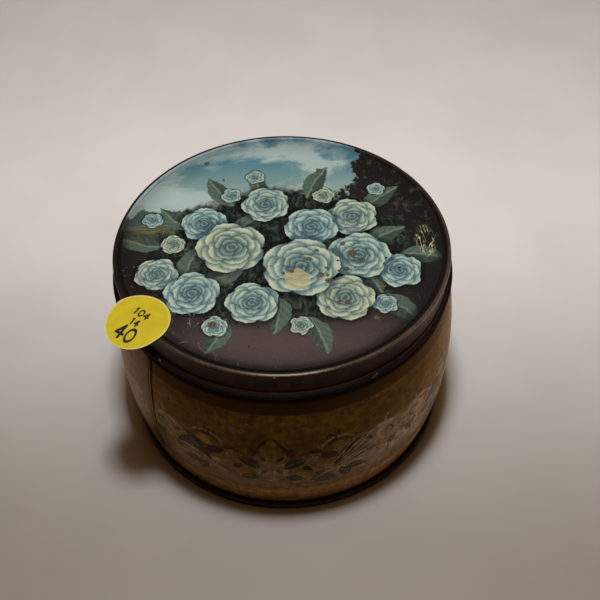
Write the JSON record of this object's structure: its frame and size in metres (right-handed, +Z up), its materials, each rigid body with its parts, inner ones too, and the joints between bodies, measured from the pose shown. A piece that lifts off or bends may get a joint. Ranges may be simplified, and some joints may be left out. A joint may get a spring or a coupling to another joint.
{
  "type": "toffee tin",
  "caption": "Round barrel-sided toffee tin with a slip lid, rolled lid rim, side seam, seamed base and a paper dot on the rim.",
  "frame": {"origin": "middle of the tin's footprint, on the surface it stands on", "axes": "+Z up along the tin's axis, +Y away from the front of the tin"},
  "size_m": [0.1412, 0.1412, 0.0891],
  "materials": {
    "printed_body": "aged gold-brown lacquer with a faded leaf border, satin",
    "printed_lid": "dark printed picture under worn gloss varnish",
    "dark_tinplate": "blackened tinplate",
    "yellow_paper": "matte yellow paper"
  },
  "bodies": {
    "root": {"tin_body": "printed_body", "lid": "printed_lid", "base_end": "dark_tinplate", "paper_dot": "yellow_paper"}
  },
  "joints": []
}
